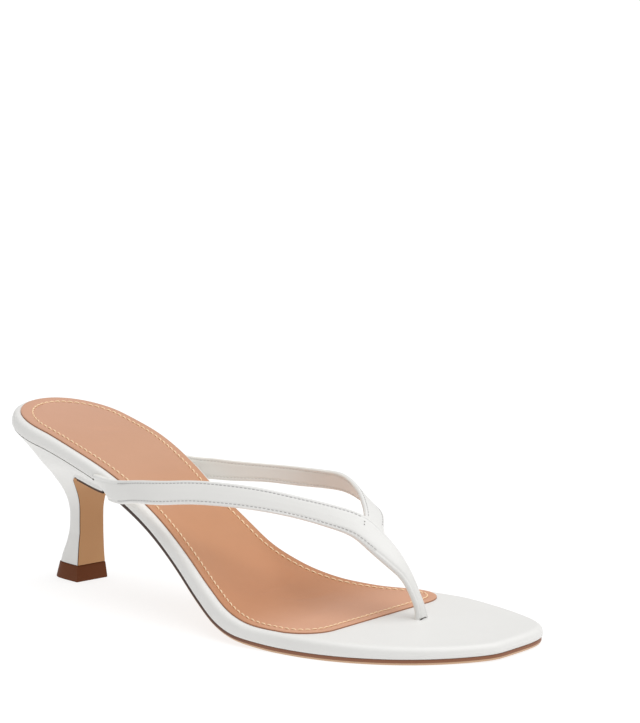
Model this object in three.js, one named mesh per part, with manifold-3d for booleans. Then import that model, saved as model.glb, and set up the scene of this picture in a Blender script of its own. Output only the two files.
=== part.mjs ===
// Toe post sandal with a covered kitten heel, for the right foot.
// Millimetres, +X to the toe, +Y to the inner side of the foot, +Z up.
// The origin is the centre of the heel tip's flat underside.

import * as THREE from "three";
import { mergeVertices } from "three/addons/utils/BufferGeometryUtils.js";
import Module from "manifold-3d";

const wasm = await Module();
wasm.setup();

// Driving sizes of the last
const SOLE_LENGTH = 229.5;     // along the floor, from the back of the sole to the toe
const BALL_WIDTH = 88;         // widths in the outline table are shares of this
const HEEL_RISE = 59.8;        // floor to the sole's underside, at its back end
const TOE_SPRING = 0.6;         // floor to the sole's underside, at the toe
const HEEL_SET = 25;           // sole's back end to the middle of the heel tip
const HEEL_SIDE = 4.4;         // sole's own axis to the middle of the heel tip, to the inner side
const TOE_AXIS = 0.9;          // sole's own axis to the toe's outer corner, to the inner side

// Layers
const OUTSOLE_THICKNESS = 1.8; // under the forefoot
const SHANK_THICKNESS = 1.3;   // outsole under the shank
const BED_THICKNESS = 5.4;     // footbed from heel to ball
const TOE_THICKNESS = 4.2;     // footbed at the toe
const INSOLE_THICKNESS = 0.9;
const POCKET_DEPTH = 0.9;      // depth of the footbed's hollow for the insole
const CLEARANCE = 0.3;         // between pieces that touch

// Edges
const BED_EDGE_RADIUS = 2.4;   // rolled upper edge of the footbed
const BED_LOWER_RADIUS = 0.9;  // eased lower edge
const RIM = 2.6;               // footbed's edge to the insole's edge
const OUTSOLE_INSET = 0.5;     // footbed's edge to the outsole's edge
const OUTSOLE_BEVEL = 0.5;
const OUTSOLE_BACK = 46;       // sole's back end to the outsole's two back ends, beside the heel
const INSOLE_FRONT = 172.5;    // sole's back end to the insole's front edge
const INSOLE_OUTER_CORNER = 12;
const INSOLE_INNER_CORNER = 7;

// Heel
const SEAT_WIDTH = 50;         // heel sections are shares of this
const HEEL_INSET = 0.6;        // footbed's edge to the heel's side
const HEEL_TURN = 12;          // degrees that the heel's front face looks to the outer side
const TOP_PIECE_HEIGHT = 6.3;
const TOP_PIECE_SPREAD = 0.5;  // how far the lift stands proud of the heel, at the floor
const BREAST_THICKNESS = 1.1;
const BREAST_TOP = 0.785;      // share of the heel's rise where the tan cover ends

const WIDEST_SHARE = 0.45;     // share of a heel section's depth, from its back, where it is widest
const COLUMN_SQUARENESS = 3;   // a section is an ellipse at 2, and squarer above
const SEAT_SQUARENESS = 2.1;
const COLUMN_ENDS = 0.6;       // shares of the heel's rise between which the squareness changes
const SEAT_STARTS = 0.8;
const CORNER_SHARE = 0.6;      // share of the way from the widest place to the front face

// Straps
const STRAP_WIDTH = 9;
const STRAP_THICKNESS = 1.8;
const STRAP_ARCH = 40;         // footbed to the straps at their highest
const STRAP_SOFT = 0.28;       // softening of a strap's edges, as a share of its thickness

// Outline of the footbed: shares of the sole's length and of the ball width, from the sole's own axis.
const OUTLINE = [
  { along: 0.121, outer: 0.245, inner: 0.317 },
  { along: 0.201, outer: 0.274, inner: 0.301 },
  { along: 0.293, outer: 0.293, inner: 0.241 },
  { along: 0.380, outer: 0.318, inner: 0.188 },
  { along: 0.450, outer: 0.362, inner: 0.188 },
  { along: 0.510, outer: 0.411, inner: 0.247 },
  { along: 0.567, outer: 0.457, inner: 0.338 },
  { along: 0.630, outer: 0.478, inner: 0.440 },
  { along: 0.700, outer: 0.469, inner: 0.519 },
  { along: 0.775, outer: 0.451, inner: 0.547 },
];
const HEEL_CLOSES = 0.121;     // shares of the length where the outline starts to close
const OUTER_TOE_CLOSES = 0.700;
const INNER_TOE_CLOSES = 0.775;
// How the outline closes: an ellipse at 2 and 2, and squarer above
const HEEL_END = { rise: 2.1, fall: 2.1 };
const OUTER_TOE = { rise: 2.1, fall: 1.25 };
const INNER_TOE = { rise: 1.3, fall: 5.8 };

// Underside of the sole: shares of the length and of the heel's rise. The forefoot lies flat.
// Bed is the footbed's thickness there, as a share of its own.
const UNDERSIDE = [
  { along: 0.000, rise: 1.000, bed: 1.00 },
  { along: 0.094, rise: 0.924, bed: 1.00 },
  { along: 0.183, rise: 0.850, bed: 0.90 },
  { along: 0.271, rise: 0.740, bed: 0.90 },
  { along: 0.358, rise: 0.575, bed: 0.92 },
  { along: 0.447, rise: 0.356, bed: 0.99 },
  { along: 0.493, rise: 0.229, bed: 1.07 },
  { along: 0.542, rise: 0.114, bed: 1.14 },
  { along: 0.593, rise: 0.040, bed: 1.09 },
  { along: 0.644, rise: 0.013, bed: 0.95 },
  { along: 0.684, rise: 0.000, bed: 1.00 },
];
const SHANK_ENDS = 0.55;       // shares of the length between which the outsole thickens
const FOREFOOT_STARTS = 0.68;
const TOE_LIFTS = 0.885;       // share of the length where the toe starts to lift

// Heel sections from the lift upwards: shares of the heel's rise and of the seat width.
// Front and back lie from the heel's upright axis, waist is the half width behind the front face,
// breast is the half width of the front face, and side is the shift to the inner side.
const HEEL_SECTIONS = [
  { up: 0.000, front: 0.150, back: 0.150, waist: 0.146, breast: 0.126, side: 0.010 },
  { up: 0.104, front: 0.144, back: 0.116, waist: 0.136, breast: 0.120, side: 0.010 },
  { up: 0.157, front: 0.142, back: 0.098, waist: 0.127, breast: 0.116, side: 0.010 },
  { up: 0.252, front: 0.141, back: 0.044, waist: 0.120, breast: 0.113, side: 0.010 },
  { up: 0.330, front: 0.141, back: 0.018, waist: 0.117, breast: 0.112, side: 0.010 },
  { up: 0.417, front: 0.142, back: 0.008, waist: 0.117, breast: 0.112, side: 0.010 },
  { up: 0.490, front: 0.146, back: 0.022, waist: 0.121, breast: 0.115, side: 0.010 },
  { up: 0.563, front: 0.160, back: 0.040, waist: 0.144, breast: 0.134, side: 0.006 },
  { up: 0.626, front: 0.184, back: 0.064, waist: 0.180, breast: 0.168, side: 0.000 },
  { up: 0.666, front: 0.218, back: 0.082, waist: 0.210, breast: 0.200, side: -0.008 },
  { up: 0.716, front: 0.280, back: 0.110, waist: 0.250, breast: 0.244, side: -0.020 },
  { up: 0.770, front: 0.420, back: 0.146, waist: 0.312, breast: 0.300, side: -0.036 },
  { up: 0.806, front: 0.570, back: 0.171, waist: 0.356, breast: 0.415, side: -0.042 },
  { up: 0.838, front: 0.720, back: 0.196, waist: 0.418, breast: 0.510, side: -0.040 },
  { up: 0.892, front: 0.860, back: 0.250, waist: 0.490, breast: 0.570, side: -0.038 },
  { up: 0.939, front: 0.900, back: 0.324, waist: 0.538, breast: 0.600, side: -0.036 },
  { up: 0.985, front: 0.920, back: 0.430, waist: 0.576, breast: 0.610, side: -0.036 },
  { up: 1.120, front: 0.950, back: 0.560, waist: 0.610, breast: 0.630, side: -0.036 },
];

// Middle lines of the straps: shares of the sole's length, of the ball width from the sole's axis, and
// of the strap arch above the footbed. Lean is in degrees from upright to the inner side, sweep in degrees
// towards the heel. Width is a share of the strap's width.
const OUTER_STRAP = [
  { along: 0.272, side: -0.228, height: -0.175, lean: 0, sweep: 56, width: 0.98 },
  { along: 0.279, side: -0.282, height: -0.150, lean: 2, sweep: 50, width: 1.00 },
  { along: 0.299, side: -0.316, height: -0.088, lean: 4, sweep: 24, width: 1.00 },
  { along: 0.329, side: -0.339, height: 0.005, lean: 9, sweep: 7, width: 1.00 },
  { along: 0.375, side: -0.387, height: 0.226, lean: 13, sweep: 0, width: 1.00 },
  { along: 0.433, side: -0.397, height: 0.459, lean: 22, sweep: 0, width: 1.01 },
  { along: 0.486, side: -0.369, height: 0.700, lean: 25, sweep: 0, width: 1.00 },
  { along: 0.541, side: -0.321, height: 0.907, lean: 25, sweep: 0, width: 0.98 },
  { along: 0.594, side: -0.250, height: 1.013, lean: 25, sweep: 0, width: 0.95 },
  { along: 0.640, side: -0.162, height: 1.001, lean: 28, sweep: 0, width: 0.91 },
  { along: 0.680, side: -0.065, height: 0.925, lean: 38, sweep: 0, width: 0.95 },
  { along: 0.714, side: 0.020, height: 0.834, lean: 51, sweep: 0, width: 0.97 },
  { along: 0.742, side: 0.060, height: 0.689, lean: 63, sweep: 0, width: 0.88 },
  { along: 0.770, side: 0.083, height: 0.547, lean: 73, sweep: 0, width: 0.65 },
  { along: 0.787, side: 0.098, height: 0.409, lean: 81, sweep: 0, width: 0.46 },
  { along: 0.801, side: 0.110, height: 0.218, lean: 84, sweep: 0, width: 0.40 },
  { along: 0.809, side: 0.124, height: 0.067, lean: 85, sweep: 0, width: 0.40 },
  { along: 0.811, side: 0.131, height: -0.071, lean: 86, sweep: 0, width: 0.40 },
];
const INNER_STRAP = [
  { along: 0.250, side: 0.194, height: -0.180, lean: 0, sweep: 52, width: 0.84 },
  { along: 0.262, side: 0.239, height: -0.160, lean: 4, sweep: 44, width: 0.86 },
  { along: 0.289, side: 0.266, height: -0.120, lean: 8, sweep: 20, width: 0.86 },
  { along: 0.322, side: 0.282, height: -0.015, lean: 16, sweep: 6, width: 0.89 },
  { along: 0.361, side: 0.292, height: 0.103, lean: 17, sweep: 0, width: 0.84 },
  { along: 0.430, side: 0.318, height: 0.368, lean: 16, sweep: 0, width: 0.81 },
  { along: 0.495, side: 0.330, height: 0.624, lean: 4, sweep: 0, width: 0.81 },
  { along: 0.549, side: 0.326, height: 0.837, lean: -13, sweep: 0, width: 0.83 },
  { along: 0.597, side: 0.307, height: 0.961, lean: -23, sweep: 0, width: 0.91 },
  { along: 0.640, side: 0.270, height: 0.956, lean: -38, sweep: 0, width: 0.99 },
  { along: 0.674, side: 0.221, height: 0.916, lean: -60, sweep: 0, width: 1.06 },
  { along: 0.701, side: 0.159, height: 0.871, lean: -72, sweep: 0, width: 1.08 },
  { along: 0.718, side: 0.105, height: 0.797, lean: -79, sweep: 0, width: 1.00 },
  { along: 0.728, side: 0.083, height: 0.742, lean: -90, sweep: 0, width: 0.90 },
  { along: 0.738, side: 0.069, height: 0.655, lean: -100, sweep: 0, width: 0.70 },
];

// How finely the forms are divided
const HEEL_END_STEPS = 8;
const MIDDLE_STEPS = 26;
const TOE_STEPS = 13;
const HEEL_LEVELS = 24;
const HEEL_ROUND_STEPS = 10;
const STRAP_STEPS = 44;
const BED_EDGE_STEPS = 4;
const INSOLE_CORNER_STEPS = 6;
const BREAST_STEPS = 18;
const BREAST_EASE = 1.5;       // above 1, the steps crowd together towards the breast's curved top

// Reach of the bodies that only cut, and the distance below which two points are one
const LARGE = 80;
const POCKET_REACH = 8;
const CUT_FROM = -0.1;         // shares of the sole's length
const CUT_TO = 0.5;
const SAME = 1e-4;

const smooth = (t) => t * t * (3 - 2 * t);
const clamp = (t) => Math.min(1, Math.max(0, t));
const lerp = (a, b, t) => a + (b - a) * t;

// A smooth line through a table's rows that never passes beyond them, so that flat rows stay flat.
function lineThrough(rows, from, to) {
  const x = rows.map((row) => row[from]);
  const y = rows.map((row) => row[to]);
  const count = x.length;
  const chord = x.slice(1).map((value, i) => (y[i + 1] - y[i]) / (value - x[i]));
  const slope = x.map((value, i) => {
    if (i === 0) return chord[0];
    if (i === count - 1) return chord[count - 2];
    const before = chord[i - 1];
    const after = chord[i];
    if (before * after <= 0) return 0;
    const share = (value - x[i - 1]) / (x[i + 1] - x[i - 1]);
    const steep = 3 * Math.min(Math.abs(before), Math.abs(after));
    return Math.sign(before) * Math.min(steep, Math.abs(lerp(before, after, share)));
  });
  const last = count - 1;
  return (at) => {
    if (at <= x[0]) return y[0] + slope[0] * (at - x[0]);
    if (at >= x[last]) return y[last] + slope[last] * (at - x[last]);
    let i = 0;
    while (at > x[i + 1]) i += 1;
    const h = x[i + 1] - x[i];
    const t = (at - x[i]) / h;
    const t2 = t * t;
    const t3 = t2 * t;
    return (2 * t3 - 3 * t2 + 1) * y[i] + (t3 - 2 * t2 + t) * h * slope[i]
      + (3 * t2 - 2 * t3) * y[i + 1] + (t3 - t2) * h * slope[i + 1];
  };
}

const underside = lineThrough(UNDERSIDE, "along", "rise");
const bedShare = lineThrough(UNDERSIDE, "along", "bed");
const outerLine = lineThrough(OUTLINE, "along", "outer");
const innerLine = lineThrough(OUTLINE, "along", "inner");

// Share of the length from which the sole lies flat
const FLAT_FROM = UNDERSIDE[UNDERSIDE.length - 1].along;

// Height of the sole's underside at a share of its length
function underHeight(along) {
  if (along <= FLAT_FROM) return HEEL_RISE * underside(along);
  const lift = Math.max(0, (along - TOE_LIFTS) / (1 - TOE_LIFTS));
  return TOE_SPRING * lift * lift;
}

function outsoleThickness(along) {
  const forward = smooth(clamp((along - SHANK_ENDS) / (FOREFOOT_STARTS - SHANK_ENDS)));
  return lerp(SHANK_THICKNESS, OUTSOLE_THICKNESS, forward);
}

function bedUnder(along) {
  return outsoleThickness(along) + CLEARANCE;
}

function bedTop(along) {
  const forward = smooth(clamp((along - OUTER_TOE_CLOSES) / (1 - OUTER_TOE_CLOSES)));
  const bed = BED_THICKNESS * bedShare(Math.min(along, FLAT_FROM));
  return bedUnder(along) + lerp(bed, TOE_THICKNESS, forward);
}

// A point of the sole: x from its back end, y from its own axis, and height square to its underside
function solePoint(x, y, height) {
  const along = x / SOLE_LENGTH;
  const step = 0.002;
  const slope = (underHeight(along + step) - underHeight(along - step)) / (2 * step * SOLE_LENGTH);
  const scale = Math.hypot(1, slope);
  return [
    x - HEEL_SET - (height * slope) / scale,
    y - HEEL_SIDE,
    underHeight(along) + height / scale,
  ];
}

// Height above the floor of the footbed's top, straight above a place on the sole's axis
function topHeight(x) {
  const top = bedTop(x / SOLE_LENGTH);
  const shift = solePoint(x, 0, top)[0] + HEEL_SET - x;
  return solePoint(x - shift, 0, top)[2];
}

// Where the outer or inner edge of the footbed lies, as a distance from the sole's axis
const heelMiddle = ((innerLine(HEEL_CLOSES) - outerLine(HEEL_CLOSES)) / 2) * BALL_WIDTH;

function closing(t, shape) {
  return Math.pow(Math.max(0, 1 - Math.pow(t, shape.rise)), 1 / shape.fall);
}

function edgeAt(along, side) {
  const outer = side < 0;
  const line = outer ? outerLine : innerLine;
  const toeCloses = outer ? OUTER_TOE_CLOSES : INNER_TOE_CLOSES;
  if (along < HEEL_CLOSES) {
    const full = side * line(HEEL_CLOSES) * BALL_WIDTH;
    const round = closing(1 - along / HEEL_CLOSES, HEEL_END);
    return heelMiddle + (full - heelMiddle) * round;
  }
  if (along > toeCloses) {
    const full = side * line(toeCloses) * BALL_WIDTH;
    const t = (along - toeCloses) / (1 - toeCloses);
    const round = closing(t, outer ? OUTER_TOE : INNER_TOE);
    return TOE_AXIS + (full - TOE_AXIS) * round;
  }
  return side * line(along) * BALL_WIDTH;
}

// Shares of the length at which the sole is divided, closer together round the heel and the toe
function stations() {
  const list = [];
  for (let i = 0; i < HEEL_END_STEPS; i += 1) {
    list.push(HEEL_CLOSES * (1 - Math.cos((Math.PI / 2) * (i / HEEL_END_STEPS))));
  }
  for (let i = 0; i < MIDDLE_STEPS; i += 1) {
    list.push(lerp(HEEL_CLOSES, INNER_TOE_CLOSES, i / MIDDLE_STEPS));
  }
  for (let i = 0; i <= TOE_STEPS; i += 1) {
    list.push(lerp(INNER_TOE_CLOSES, 1, Math.sin((Math.PI / 2) * (i / TOE_STEPS))));
  }
  return list;
}

// The footbed's edge as pairs of outer and inner points, from the heel to the toe
const SOLE_EDGE = stations().map((along) => ({
  x: along * SOLE_LENGTH,
  outer: edgeAt(along, -1),
  inner: edgeAt(along, 1),
}));

// A closed loop of plan points: up the outer side and back down the inner side
function loopOf(edge) {
  const outer = edge.map((row) => [row.x, row.outer]);
  const inner = edge.map((row) => [row.x, row.inner]);
  return outer.concat(inner.reverse());
}

// The loop moved in from the edge by a distance, square to itself
function inset(loop, distance) {
  const count = loop.length;
  return loop.map((point, i) => {
    const near = (place) => Math.hypot(place[0] - point[0], place[1] - point[1]) < SAME;
    let before = loop[(i + count - 1) % count];
    let after = loop[(i + 1) % count];
    if (near(before)) before = loop[(i + count - 2) % count];
    if (near(after)) after = loop[(i + 2) % count];
    const dx = after[0] - before[0];
    const dy = after[1] - before[1];
    const length = Math.hypot(dx, dy);
    return [point[0] - (dy / length) * distance, point[1] + (dx / length) * distance];
  });
}

// Makes a solid from levels: closed loops with the same number of points, capped at both ends.
// A cap joins each point of the first half to its partner in the second half.
function solidFrom(levels) {
  const count = levels[0].length;
  const positions = levels.flat(2);
  const faces = [];
  const quad = (a, b, c, d) => faces.push(a, b, c, a, c, d);
  for (let level = 0; level < levels.length - 1; level += 1) {
    for (let i = 0; i < count; i += 1) {
      const next = (i + 1) % count;
      quad(level * count + i, level * count + next, (level + 1) * count + next, (level + 1) * count + i);
    }
  }
  const last = (levels.length - 1) * count;
  for (let i = 0; i < count / 2 - 1; i += 1) {
    const partner = count - 1 - i;
    quad(i + 1, i, partner, partner - 1);
    quad(last + i, last + i + 1, last + partner - 1, last + partner);
  }
  return closedSolid(positions, faces);
}

// Joins equal points, drops the faces that this closes, and turns the solid's faces outwards
function closedSolid(positions, faces) {
  const raw = new THREE.BufferGeometry();
  raw.setAttribute("position", new THREE.Float32BufferAttribute(positions, 3));
  raw.setIndex(faces);
  const merged = mergeVertices(raw, SAME);
  const index = Array.from(merged.index.array);
  const kept = [];
  for (let i = 0; i < index.length; i += 3) {
    const [a, b, c] = index.slice(i, i + 3);
    if (a !== b && b !== c && a !== c) kept.push(a, b, c);
  }
  const vertProperties = new Float32Array(merged.attributes.position.array);
  const make = (triVerts) => new wasm.Manifold(new wasm.Mesh({ numProp: 3, vertProperties, triVerts }));
  const solid = make(new Uint32Array(kept));
  if (solid.volume() > 0) return solid;
  for (let i = 0; i < kept.length; i += 3) {
    [kept[i], kept[i + 1]] = [kept[i + 1], kept[i]];
  }
  return make(new Uint32Array(kept));
}

// A slab that follows the sole. Each ring gives how far it lies in from the edge and its height
// square to the sole's underside.
function slab(edge, rings) {
  const loop = loopOf(edge);
  return solidFrom(rings.map((ring) => inset(loop, ring.inset).map(([x, y]) => (
    solePoint(x, y, ring.height(x / SOLE_LENGTH))
  ))));
}

// Rings of a rolled edge: a quarter round from the side to the top
function rolled(radius, top, steps) {
  const list = [];
  for (let i = 0; i <= steps; i += 1) {
    const angle = (Math.PI / 2) * (i / steps);
    list.push({
      inset: radius * (1 - Math.cos(angle)),
      height: (along) => top(along) - radius * (1 - Math.sin(angle)),
    });
  }
  return list;
}

// Footbed: a wrapped board with a rolled upper edge
function footbedBlank() {
  const halfWay = BED_LOWER_RADIUS * (1 - Math.SQRT1_2);
  const lower = [
    { inset: BED_LOWER_RADIUS, height: bedUnder },
    { inset: halfWay, height: (along) => bedUnder(along) + halfWay },
    { inset: 0, height: (along) => bedUnder(along) + BED_LOWER_RADIUS },
  ];
  return slab(SOLE_EDGE, lower.concat(rolled(BED_EDGE_RADIUS, bedTop, BED_EDGE_STEPS)));
}

// Insole: inside the rim, with a straight front edge between two rounded corners. Margin is added all round.
function insoleEdge(margin) {
  const front = INSOLE_FRONT + margin;
  const cornerStart = front - INSOLE_OUTER_CORNER;
  const places = SOLE_EDGE.map((row) => row.x).filter((x) => x < cornerStart);
  for (let i = 1; i <= INSOLE_CORNER_STEPS; i += 1) {
    const angle = (Math.PI / 2) * (i / INSOLE_CORNER_STEPS);
    places.push(front - INSOLE_OUTER_CORNER * Math.cos(angle));
  }
  const edge = places.map((x) => ({
    x,
    outer: edgeAt(x / SOLE_LENGTH, -1),
    inner: edgeAt(x / SOLE_LENGTH, 1),
  }));
  const loop = inset(loopOf(edge), RIM - margin);
  const cornerCut = (x, radius) => {
    const t = clamp((x - (front - radius)) / radius);
    return radius * (1 - Math.sqrt(1 - t * t));
  };
  return places.map((place, i) => {
    const outer = loop[i];
    const inner = loop[loop.length - 1 - i];
    return {
      x: i === places.length - 1 ? front : (outer[0] + inner[0]) / 2,
      outer: outer[1] + cornerCut(place, INSOLE_OUTER_CORNER),
      inner: inner[1] - cornerCut(place, INSOLE_INNER_CORNER),
    };
  });
}

function insoleSolid() {
  const under = (along) => bedTop(along) - POCKET_DEPTH + CLEARANCE;
  const over = (along) => under(along) + INSOLE_THICKNESS;
  return slab(insoleEdge(0), [{ inset: 0, height: under }, { inset: 0, height: over }]);
}

function insolePocket() {
  const under = (along) => bedTop(along) - POCKET_DEPTH;
  const over = (along) => under(along) + POCKET_REACH;
  return slab(insoleEdge(CLEARANCE), [{ inset: 0, height: under }, { inset: 0, height: over }]);
}

// Outsole: from beside the heel to the toe
function outsoleSolid() {
  const back = OUTSOLE_BACK / SOLE_LENGTH;
  const rows = SOLE_EDGE.filter((row) => row.x > OUTSOLE_BACK + OUTSOLE_BEVEL);
  rows.unshift({ x: OUTSOLE_BACK, outer: edgeAt(back, -1), inner: edgeAt(back, 1) });
  return slab(rows, [
    { inset: OUTSOLE_INSET + OUTSOLE_BEVEL, height: () => 0 },
    { inset: OUTSOLE_INSET, height: () => OUTSOLE_BEVEL },
    { inset: OUTSOLE_INSET, height: outsoleThickness },
  ]);
}

// Heel sections turned about the heel's upright axis
const heelLine = {};
for (const column of ["front", "back", "waist", "breast", "side"]) {
  heelLine[column] = lineThrough(HEEL_SECTIONS, "up", column);
}
const turn = THREE.MathUtils.degToRad(HEEL_TURN);

function heelPoint(forward, side, z) {
  return [
    forward * Math.cos(turn) + side * Math.sin(turn),
    -forward * Math.sin(turn) + side * Math.cos(turn),
    z,
  ];
}

// One level of the heel: a flat front face, and sides that swell a little and close round the back.
// The column is squarer than the seat, which is as round as the footbed.
function heelLoop(up, grow) {
  const size = (column) => heelLine[column](up) * SEAT_WIDTH;
  const widest = lerp(-size("back"), size("front"), WIDEST_SHARE);
  const seated = smooth(clamp((up - COLUMN_ENDS) / (SEAT_STARTS - COLUMN_ENDS)));
  const power = 2 / lerp(COLUMN_SQUARENESS, SEAT_SQUARENESS, seated);
  const points = [];
  for (let i = 0; i <= HEEL_ROUND_STEPS; i += 1) {
    const angle = (Math.PI / 2) * (i / HEEL_ROUND_STEPS);
    points.push([
      widest - (size("back") + widest + grow) * Math.pow(Math.cos(angle), power),
      (size("waist") + grow) * Math.pow(Math.sin(angle), power),
    ]);
  }
  points.push([
    lerp(widest, size("front"), CORNER_SHARE),
    lerp(size("waist"), size("breast"), 1 - CORNER_SHARE) + grow,
  ]);
  points.push([size("front") + grow, size("breast") + grow]);
  const outer = points.map(([forward, half]) => heelPoint(forward, size("side") - half, up * HEEL_RISE));
  const inner = points.map(([forward, half]) => heelPoint(forward, size("side") + half, up * HEEL_RISE));
  return outer.concat(inner.reverse());
}

function heelBlank(grow) {
  const foot = (TOP_PIECE_HEIGHT + CLEARANCE) / HEEL_RISE;
  const head = HEEL_SECTIONS[HEEL_SECTIONS.length - 1].up;
  const levels = [];
  for (let i = 0; i <= HEEL_LEVELS; i += 1) {
    levels.push(heelLoop(lerp(foot, head, i / HEEL_LEVELS), grow));
  }
  return solidFrom(levels);
}

// The heel runs up into the footbed's underside and keeps inside the footbed's outline.
function heelSolid() {
  const blank = heelBlank(0);
  const side = inset(loopOf(SOLE_EDGE), HEEL_INSET);
  const column = solidFrom([0, 2 * HEEL_RISE].map((z) => side.map(([x, y]) => {
    const edge = solePoint(x, y, bedUnder(x / SOLE_LENGTH));
    return [edge[0], edge[1], z];
  })));
  return blank.intersect(column).subtract(aboveBed());
}

// Everything above the footbed's underside, with the clearance
function aboveBed() {
  const edge = [];
  for (let i = 0; i <= MIDDLE_STEPS; i += 1) {
    edge.push({ x: lerp(CUT_FROM, CUT_TO, i / MIDDLE_STEPS) * SOLE_LENGTH, outer: -LARGE, inner: LARGE });
  }
  return slab(edge, [
    { inset: 0, height: (along) => bedUnder(along) - CLEARANCE },
    { inset: 0, height: () => LARGE },
  ]);
}

// Tan cover of the heel's front face: it follows the heel's own front, a clearance away.
// Grow is added all round.
function breastSolid(grow) {
  const foot = (TOP_PIECE_HEIGHT + CLEARANCE) / HEEL_RISE;
  const rows = [];
  for (let i = 0; i <= BREAST_STEPS; i += 1) {
    const up = lerp(foot, BREAST_TOP, 1 - Math.pow(1 - i / BREAST_STEPS, BREAST_EASE));
    rows.push({
      forward: heelLine.front(up) * SEAT_WIDTH,
      z: up * HEEL_RISE,
      half: heelLine.breast(up) * SEAT_WIDTH,
      side: heelLine.side(up) * SEAT_WIDTH,
    });
  }
  const levels = rows.map((row, i) => {
    const before = rows[Math.max(0, i - 1)];
    const after = rows[Math.min(rows.length - 1, i + 1)];
    const run = after.forward - before.forward;
    const climb = after.z - before.z;
    const length = Math.hypot(run, climb);
    const normal = i === 0 ? [1, 0] : [climb / length, -run / length];
    const place = (offset, half) => heelPoint(
      row.forward + normal[0] * offset,
      row.side + half,
      row.z + normal[1] * offset,
    );
    const near = CLEARANCE - grow;
    const far = CLEARANCE + BREAST_THICKNESS + grow;
    const half = row.half + grow;
    return [place(near, -half), place(far, -half), place(far, half), place(near, half)];
  });
  return solidFrom(levels);
}

// Lift under the heel
function topPieceSolid() {
  const levels = [0, 1].map((level) => heelLoop(
    (level * TOP_PIECE_HEIGHT) / HEEL_RISE,
    lerp(TOP_PIECE_SPREAD, TOP_PIECE_SPREAD / 2, level),
  ));
  return solidFrom(levels);
}

// A strap: a flat band along its middle line, with softened edges. Grow is added all round.
function strapSolid(rows, grow) {
  const point = (row) => {
    const x = row.along * SOLE_LENGTH;
    return [
      x - HEEL_SET,
      row.side * BALL_WIDTH - HEEL_SIDE,
      topHeight(x) + row.height * STRAP_ARCH,
    ];
  };
  const path = new THREE.CatmullRomCurve3(
    rows.map((row) => new THREE.Vector3(...point(row))), false, "centripetal",
  );
  const levels = [];
  for (let i = 0; i <= STRAP_STEPS; i += 1) {
    const t = i / STRAP_STEPS;
    const at = path.getPoint(t);
    const along = path.getTangent(t);
    const place = t * (rows.length - 1);
    const low = Math.min(rows.length - 2, Math.floor(place));
    const mix = (column) => lerp(rows[low][column], rows[low + 1][column], smooth(place - low));
    const lean = THREE.MathUtils.degToRad(mix("lean"));
    const sweep = THREE.MathUtils.degToRad(mix("sweep"));
    const across = new THREE.Vector3(
      -Math.sin(sweep), Math.sin(lean) * Math.cos(sweep), Math.cos(lean) * Math.cos(sweep),
    );
    across.addScaledVector(along, -across.dot(along)).normalize();
    const through = new THREE.Vector3().crossVectors(along, across);
    const w = (mix("width") * STRAP_WIDTH) / 2 + grow;
    const h = STRAP_THICKNESS / 2 + grow;
    const soft = STRAP_THICKNESS * STRAP_SOFT;
    const section = [
      [-w, h - soft], [-w + soft, h], [w - soft, h], [w, h - soft],
      [w, -h + soft], [w - soft, -h], [-w + soft, -h], [-w, -h + soft],
    ];
    if (i === 0) at.addScaledVector(along, -grow);
    if (i === STRAP_STEPS) at.addScaledVector(along, grow);
    levels.push(section.map(([a, b]) => at.clone()
      .addScaledVector(across, a).addScaledVector(through, b).toArray()));
  }
  return solidFrom(levels);
}

function strapsSolid(grow) {
  return strapSolid(OUTER_STRAP, grow).add(strapSolid(INNER_STRAP, grow));
}

// Materials
const finish = (color, roughness) => new THREE.MeshStandardMaterial({ color, roughness, metalness: 0 });
const whiteLeather = finish(0xe9e7e2, 0.42);
const tanLeather = finish(0xcd9a72, 0.55);
const breastLeather = finish(0xb07c50, 0.5);
const darkLift = finish(0x5a2d1b, 0.4);
const soleLeather = finish(0xa5683c, 0.6);

const sandal = new THREE.Group();
sandal.name = "toe_post_sandal";

function add(name, solid, material) {
  const mesh = solid.getMesh();
  const geometry = new THREE.BufferGeometry();
  geometry.setAttribute("position", new THREE.BufferAttribute(new Float32Array(mesh.vertProperties), 3));
  geometry.setIndex(new THREE.BufferAttribute(new Uint32Array(mesh.triVerts), 1));
  geometry.computeVertexNormals();
  const piece = new THREE.Mesh(geometry, material);
  piece.name = name;
  sandal.add(piece);
}

const straps = strapsSolid(0);
const strapRoom = strapsSolid(CLEARANCE);
const shankRoom = heelBlank(CLEARANCE).add(breastSolid(CLEARANCE));

add("footbed", footbedBlank().subtract(insolePocket()).subtract(strapRoom), whiteLeather);
add("insole", insoleSolid().subtract(strapRoom), tanLeather);
add("outsole", outsoleSolid().subtract(strapRoom).subtract(shankRoom), soleLeather);
add("heel", heelSolid().subtract(strapRoom), whiteLeather);
add("heel_breast", breastSolid(0), breastLeather);
add("top_piece", topPieceSolid(), darkLift);
add("upper_straps", straps, whiteLeather);

export default sandal;
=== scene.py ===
"""Finished leather, thread and inked edges of a heeled toe post sandal, for the right foot."""

import math

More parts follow.
